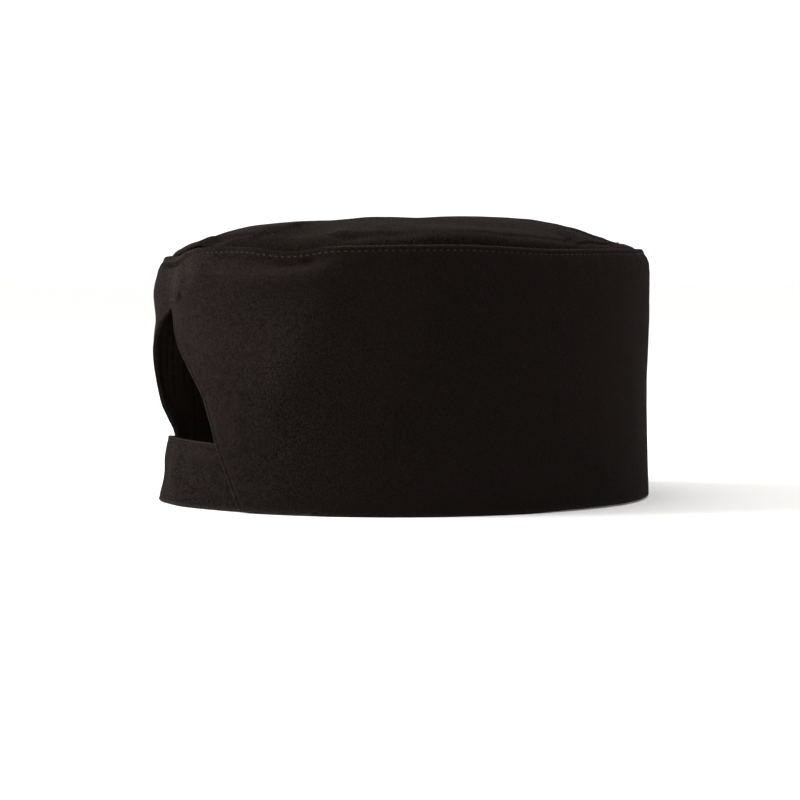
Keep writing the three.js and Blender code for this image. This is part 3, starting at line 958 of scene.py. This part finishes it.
bandTwill = {
    "ribPitch": 0.66, "floatPitch": 1.1, "ribAngle": 42,
    "floatStep": 0.37,  # how far the floats of one rib stand on from those of the last, in floats
    "wander": 0.55, "wanderScale": 700.0,
    "yarn": (0.0066, 0.0048, 0.0043), "valley": (0.0054, 0.0040, 0.0036), "slub": (0.0105, 0.0077, 0.0069),
    "dusty": (0.0084, 0.0062, 0.0055), "wornAndLit": (0.0320, 0.0248, 0.0225), "inside": (0.0520, 0.0400, 0.0310),
    # hole: needle holes; crease: the colour of painted shade
    "hole": (0.0005, 0.0005, 0.0005), "crease": (0.0006, 0.0005, 0.0005),
    "slubShare": 0.1, "speckle": 1.3, "melange": 1.0, "cloudShare": 0.25, "wearAndLightShare": 0.8,
    "troughShade": 0.2, "holeShade": 0.8, "creaseShade": 0.85,
    "slubScale": 1300, "streakScale": 420, "fuzzScale": 1650, "cloudScale": 26,
    "bumpStrength": 0.9, "bumpDepth": 0.26, "fuzzBump": 1.8, "slubBump": 0.4, "holeDepth": 2.2,
    "roughness": (0.75, 1.0), "specular": 0.01,
    "sheen": 0.019, "sheenRoughness": 0.35, "sheenTint": (1.0, 0.76, 0.71),
}
# the crown is the band's cloth, painted a little paler as a lit copy
crownTwill = dict(
    bandTwill, ribAngle=47, floatPitch=0.95, cloudShare=0.5,
    yarn=(0.0072, 0.0054, 0.0047), valley=(0.0055, 0.0041, 0.0035), slub=(0.0120, 0.0090, 0.0077),
    dusty=(0.0098, 0.0075, 0.0060), sheen=0.012, sheenTint=(1.0, 0.78, 0.68),
)
# the strap is the band's cloth, painted darker as painted shade
strapTwill = dict(
    bandTwill, ribAngle=38, cloudShare=0.3, yarn=(0.0056, 0.0041, 0.0037), valley=(0.0046, 0.0034, 0.0031),
)
# the thread is dark; its ply crests are painted paler as glints, the seam's most, as a lit copy of the hem
# thread
seamThread = {
    "core": (0.008, 0.0060, 0.0054), "crestGlint": (0.030, 0.0245, 0.0225),
    "roughness": (0.75, 0.7),  # between the plies and on them
    "specular": 0.1, "sheen": 0.02, "twist": 2600, "plyBump": 0.08,
}
tackThread = dict(
    seamThread, core=(0.005, 0.0038, 0.0034), crestGlint=(0.026, 0.0208, 0.0190), specular=0.05,
)
hemThread = dict(
    seamThread, core=(0.0045, 0.0034, 0.0030), crestGlint=(0.012, 0.0094, 0.0085), specular=0.03, sheen=0.012,
)


def sewingThread(name, look):
    material, tree = startMaterial(name)
    solid = addNode(tree, "ShaderNodeTexCoord").outputs["Object"]
    sockets = {"Vector": solid, "Scale": look["twist"] / 3, "Distortion": 3.0, "Detail": 1.0}
    ply = addNode(tree, "ShaderNodeTexWave", sockets, bands_direction="DIAGONAL").outputs["Fac"]
    tone = fadeStep(tree, cloudNoise(tree, solid, 160, 1.0), 0.3, 0.7, 0.45, 1.0)
    sockets = {"Height": ply, "Strength": 0.5, "Distance": look["plyBump"] * mm}
    finishMaterial(tree, {
        # ply crests painted paler as glints
        "Base Color": mixColours(tree, times(tree, ply, tone), look["core"], look["crestGlint"]),
        "Roughness": fadeStep(tree, ply, 0, 1, *look["roughness"]),
        "Normal": addNode(tree, "ShaderNodeBump", sockets).outputs[0],
        "Specular IOR Level": look["specular"],
        "Sheen Weight": look["sheen"],
    })
    return material


def buildStitchTree():
    # plump stitches set at an even pitch along a path, each lying in the cloth's surface
    tree = bpy.data.node_groups.new("stitchRow", "GeometryNodeTree")
    tree.interface.new_socket("Row", in_out="INPUT", socket_type="NodeSocketGeometry")
    for name in ("Pitch", "Length", "Width", "Height", "Lift", "Turn", "Jitter"):
        tree.interface.new_socket(name, in_out="INPUT", socket_type="NodeSocketFloat")
    tree.interface.new_socket("Seed", in_out="INPUT", socket_type="NodeSocketInt")
    tree.interface.new_socket("Thread", in_out="INPUT", socket_type="NodeSocketMaterial")
    tree.interface.new_socket("Stitches", in_out="OUTPUT", socket_type="NodeSocketGeometry")
    given = addNode(tree, "NodeGroupInput").outputs

    def step(kind, values=None, **settings):
        return addNode(tree, kind, values, **settings).outputs[0]

    path = step("GeometryNodeMeshToCurve", {"Mesh": given["Row"]})
    path = step("GeometryNodeResampleCurve", {"Curve": path, "Length": given["Pitch"]}, mode="LENGTH")
    # each stitch runs along the path and faces as the cloth does, with a little jitter
    heading = step("GeometryNodeInputTangent")
    facing = step("GeometryNodeInputNamedAttribute", {"Name": "facing"}, data_type="FLOAT_VECTOR")
    lie = step("FunctionNodeAlignRotationToVector", {"Vector": heading}, axis="X")
    sockets = {"Rotation": lie, "Vector": facing}
    lie = step("FunctionNodeAlignRotationToVector", sockets, axis="Z", pivot_axis="X")
    chance = addNode(tree, "FunctionNodeRandomValue", {"Seed": given["Seed"]}, data_type="FLOAT").outputs[1]
    turn = plus(tree, times(tree, minus(tree, chance, 0.5), given["Jitter"]), given["Turn"])
    turn = step("FunctionNodeEulerToRotation", {0: step("ShaderNodeCombineXYZ", {"Z": turn})})
    lie = step("FunctionNodeRotateRotation", {"Rotation": lie, "Rotate By": turn}, rotation_space="LOCAL")
    # one plump stitch, and how much the others differ from it
    ball = step("GeometryNodeMeshUVSphere", {"Segments": 8, "Rings": 5, "Radius": 0.5})
    size = step("ShaderNodeCombineXYZ", {"X": given["Length"], "Y": given["Width"], "Z": given["Height"]})
    lift = step("ShaderNodeCombineXYZ", {"Z": given["Lift"]})
    stitch = step("GeometryNodeTransform", {"Geometry": ball, "Translation": lift, "Scale": size})
    sockets = {"Seed": given["Seed"], 0: (0.9, 0.88, 0.85), 1: (1.06, 1.08, 1.1)}
    plump = step("FunctionNodeRandomValue", sockets, data_type="FLOAT_VECTOR")
    sockets = {"Points": path, "Instance": stitch, "Rotation": lie, "Scale": plump}
    rows = step("GeometryNodeInstanceOnPoints", sockets)
    rows = step("GeometryNodeRealizeInstances", {0: rows})
    rows = step("GeometryNodeSetShadeSmooth", {"Geometry": rows})
    rows = step("GeometryNodeSetMaterial", {"Geometry": rows, "Material": given["Thread"]})
    addNode(tree, "NodeGroupOutput", {"Stitches": rows})
    return tree


def sewRows(name, form, thread, tree, paths):
    # paths are (points, facings, closed), and each becomes one row of stitches in one piece
    points, facings, links = [], [], []
    for path, facing, closed in paths:
        first = len(points)
        points += path.tolist()
        facings += facing.tolist()
        links += [(first + i, first + i + 1) for i in range(len(path) - 1)]
        if closed:
            links.append((first + len(path) - 1, first))
    mesh = bpy.data.meshes.new(name + "Path")
    mesh.from_pydata(settle(np.array(points)) * mm, links, [])
    attribute = mesh.attributes.new("facing", "FLOAT_VECTOR", "POINT")
    attribute.data.foreach_set("vector", np.array(facings, np.float32).ravel())
    guide = addObject(name + "Path", mesh)
    inputs = {key.capitalize(): form[key] * mm for key in ("pitch", "length", "width", "height", "lift")}
    inputs.update(Turn=math.radians(form["turn"]), Jitter=form["jitter"], Seed=form["seed"], Thread=thread)
    modifier = guide.modifiers.new("stitches", "NODES")
    modifier.node_group = tree
    for socket in tree.interface.items_tree:
        if socket.in_out == "INPUT" and socket.name in inputs:
            modifier[socket.identifier] = inputs[socket.name]
    bpy.context.view_layer.update()
    evaluated = guide.evaluated_get(bpy.context.evaluated_depsgraph_get())
    sewn = addObject(name, bpy.data.meshes.new_from_object(evaluated))
    sewn.data.name = name
    guide.modifiers.remove(modifier)
    bpy.data.objects.remove(guide)
    return sewn


def pathFacings(point, along, step=0.05):
    # the outward direction of a surface point(a, b) along a path given as (a, b) rows
    a, b = along
    here = point(a, b)
    sideA, sideB = point(a + step, b) - here, point(a, b + step) - here
    facing = np.cross(sideA, sideB)
    return here, facing / np.linalg.norm(facing, axis=1, keepdims=True)


def seamStitchPath():
    turn = np.linspace(0, 360, 720, endpoint=False)

    def edgePoint(turns, knots):
        shape = blendShapes(bandEdgeShapes, turns)
        low, high = shape[stitchKnot - 1], shape[stitchKnot + 1]
        spot = shape[stitchKnot] + (high - low) / 2 * (knots - stitchKnot)[:, None]
        return bandFace(turns, seamHeight(turns) + spot[:, 1], spot[:, 0])

    path, facing = pathFacings(edgePoint, (turn, np.full(len(turn), float(stitchKnot))))
    sunk = stitchForm["sunk"] * hiddenShare(aroundBack(turn))[:, None]
    return path - facing * sunk, facing, True


def hemStitchPath(hem, side):
    heights = np.linspace(hemStitchForm["fromRim"], pointHeight - hemStitchForm["fromPoint"], 90)
    path = np.stack([arcAt(hem(heights)), heights], -1)
    run = np.gradient(path, axis=0)
    run /= np.linalg.norm(run, axis=1, keepdims=True)
    row = path + side * bandForm["stitchInset"] * np.stack([run[:, 1], -run[:, 0]], -1)
    return (*pathFacings(bandFace, (turnAt(row[:, 0]), row[:, 1])), False)


def strapStitchPath(share):
    level, more = strapStitchForm["level"], strapStitchForm["runOn"]
    turn = np.linspace(farHem(level) - more, nearHem(level) + more, 90)

    def at(turns, shares):
        return strapPoint(turns, shares)[0]

    return (*pathFacings(at, (turn, np.full(len(turn), share)), 0.02), False)


def tackPath():
    turn = np.linspace(*barTackForm["turns"], 12)
    return (*pathFacings(bandFace, (turn, np.full(len(turn), barTackForm["level"]))), False)


print("cap: cloth pieces")
sideBand = makeSideBand()
crownPanel = makeCrown()
backStrap = makeStrap()
sideBand.data.materials.append(twillCloth("bandTwill", bandTwill, ("topRow", "hemRow")))
crownPanel.data.materials.append(twillCloth("crownTwill", crownTwill))
backStrap.data.materials.append(twillCloth("strapTwill", strapTwill, ("topRow", "hemRow")))

print("cap: stitches")
stitchTree = buildStitchTree()
# the seam's thread is a painted lit copy of the dark hem thread
glintLitThread = sewingThread("seamThread", seamThread)
darkThread = sewingThread("hemThread", hemThread)
seamStitches = sewRows("seamStitches", stitchForm, glintLitThread, stitchTree, [seamStitchPath()])
hemRows = [hemStitchPath(nearHem, 1), hemStitchPath(farHem, -1)]
hemStitches = sewRows("hemStitches", hemStitchForm, darkThread, stitchTree, hemRows)
strapSpan = strapForm["height"] - strapForm["lift"] - 2 * strapForm["edgeBulge"]
strapInsets = [(strapForm[key] - strapForm["edgeBulge"]) / strapSpan for key in ("stitchUp", "stitchDown")]
strapRows = [strapStitchPath(strapInsets[0]), strapStitchPath(1 - strapInsets[1])]
strapStitches = sewRows("strapStitches", strapStitchForm, darkThread, stitchTree, strapRows)
barTack = sewRows("barTack", barTackForm, sewingThread("tackThread", tackThread), stitchTree, [tackPath()])

for piece, node, slot in (
    (sideBand, "side_band", "band_twill"),
    (crownPanel, "crown", "crown_twill"),
    (backStrap, "back_strap", "strap_twill"),
):
    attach(piece, "root")
    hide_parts(node)
for piece, slot in (
    (seamStitches, "band_twill"),
    (hemStitches, "band_twill"),
    (strapStitches, "strap_twill"),
    (barTack, "band_twill"),
):
    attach(piece, "root")

# The studio: a pale floor, an even white room and soft boxes.
studio = {
    "floorSize": 60.0,
    "floorColour": (0.82, 0.82, 0.815),
    "roomColour": (1.0, 0.995, 0.985),
    "roomStrength": 1.22,
    "softBoxes": [  # name, azimuth it stands at, height angle, distance, size, watts, colour
        ("keyBox", 160, 26, 1.4, 0.9, 45.0, (1.0, 0.985, 0.975)),
        ("topBox", 225, 84, 1.4, 0.9, 2.5, (1.0, 0.96, 0.91)),
    ],
}


def makeFloor():
    half = studio["floorSize"] / 2
    corners = [(-half, -half, 0), (half, -half, 0), (half, half, 0), (-half, half, 0)]
    mesh = bpy.data.meshes.new("studioFloor")
    mesh.from_pydata(corners, [], [(0, 1, 2, 3)])
    material, tree = startMaterial("paleFloor")
    solid = addNode(tree, "ShaderNodeTexCoord").outputs["Object"]
    tone = fadeStep(tree, cloudNoise(tree, solid, 3, 2.0), 0.3, 0.7)
    pale = studio["floorColour"]
    colour = mixColours(tree, tone, pale, tuple(c * 0.985 for c in pale))
    finishMaterial(tree, {"Base Color": colour, "Roughness": 0.95, "Specular IOR Level": 0.1})
    mesh.materials.append(material)
    addObject("studioFloor", mesh)


def aroundCap(distance, azimuth, height):
    # a place at an azimuth counted as the views are
    angle = math.radians(azimuth)
    return distance * math.sin(angle), -distance * math.cos(angle), height


def makeLights():
    for name, azimuth, rise, distance, size, watts, colour in studio["softBoxes"]:
        light = bpy.data.lights.new(name, "AREA")
        light.shape = "SQUARE"
        light.size = size
        light.energy = watts
        light.color = colour
        box = addObject(name, light)
        slant = math.radians(rise)
        box.location = aroundCap(distance * math.cos(slant), azimuth, 0.05 + distance * math.sin(slant))
        box.rotation_euler = (math.radians(90) - slant, 0, math.radians(azimuth))
        box.visible_camera = False
    world = bpy.data.worlds.new("whiteRoom")
    world.use_nodes = True
    tree = world.node_tree
    tree.nodes.clear()
    sockets = {"Color": (*studio["roomColour"], 1), "Strength": studio["roomStrength"]}
    room = addNode(tree, "ShaderNodeBackground", sockets)
    addNode(tree, "ShaderNodeOutputWorld", {"Surface": room.outputs[0]})
    bpy.context.scene.world = world


# The camera stands level with the cap, nearly side on and a little towards the back.
viewpoint = {
    "distance": 1.0,  # metres, as the height is
    "azimuth": 251,
    "height": 0.08838,
    "tiltDown": 2.857,  # degrees
    "swing": 0.121,  # degrees past the middle of the cap
    "lens": 112.74,
}


def makeCamera():
    camera = addObject("photoCamera", bpy.data.cameras.new("photoCamera"))
    azimuth, tilt = viewpoint["azimuth"], math.radians(90 - viewpoint["tiltDown"])
    camera.location = aroundCap(viewpoint["distance"], azimuth, viewpoint["height"])
    camera.rotation_euler = (tilt, 0, math.radians(azimuth + viewpoint["swing"]))
    camera.data.lens = viewpoint["lens"]
    camera.data.sensor_width = 36
    camera.data.clip_start, camera.data.clip_end = 0.05, 200
    bpy.context.scene.camera = camera


print("cap: studio")
makeFloor()
makeLights()
makeCamera()
bpy.context.scene.view_settings.view_transform = "Standard"

bpy.context.view_layer.update()
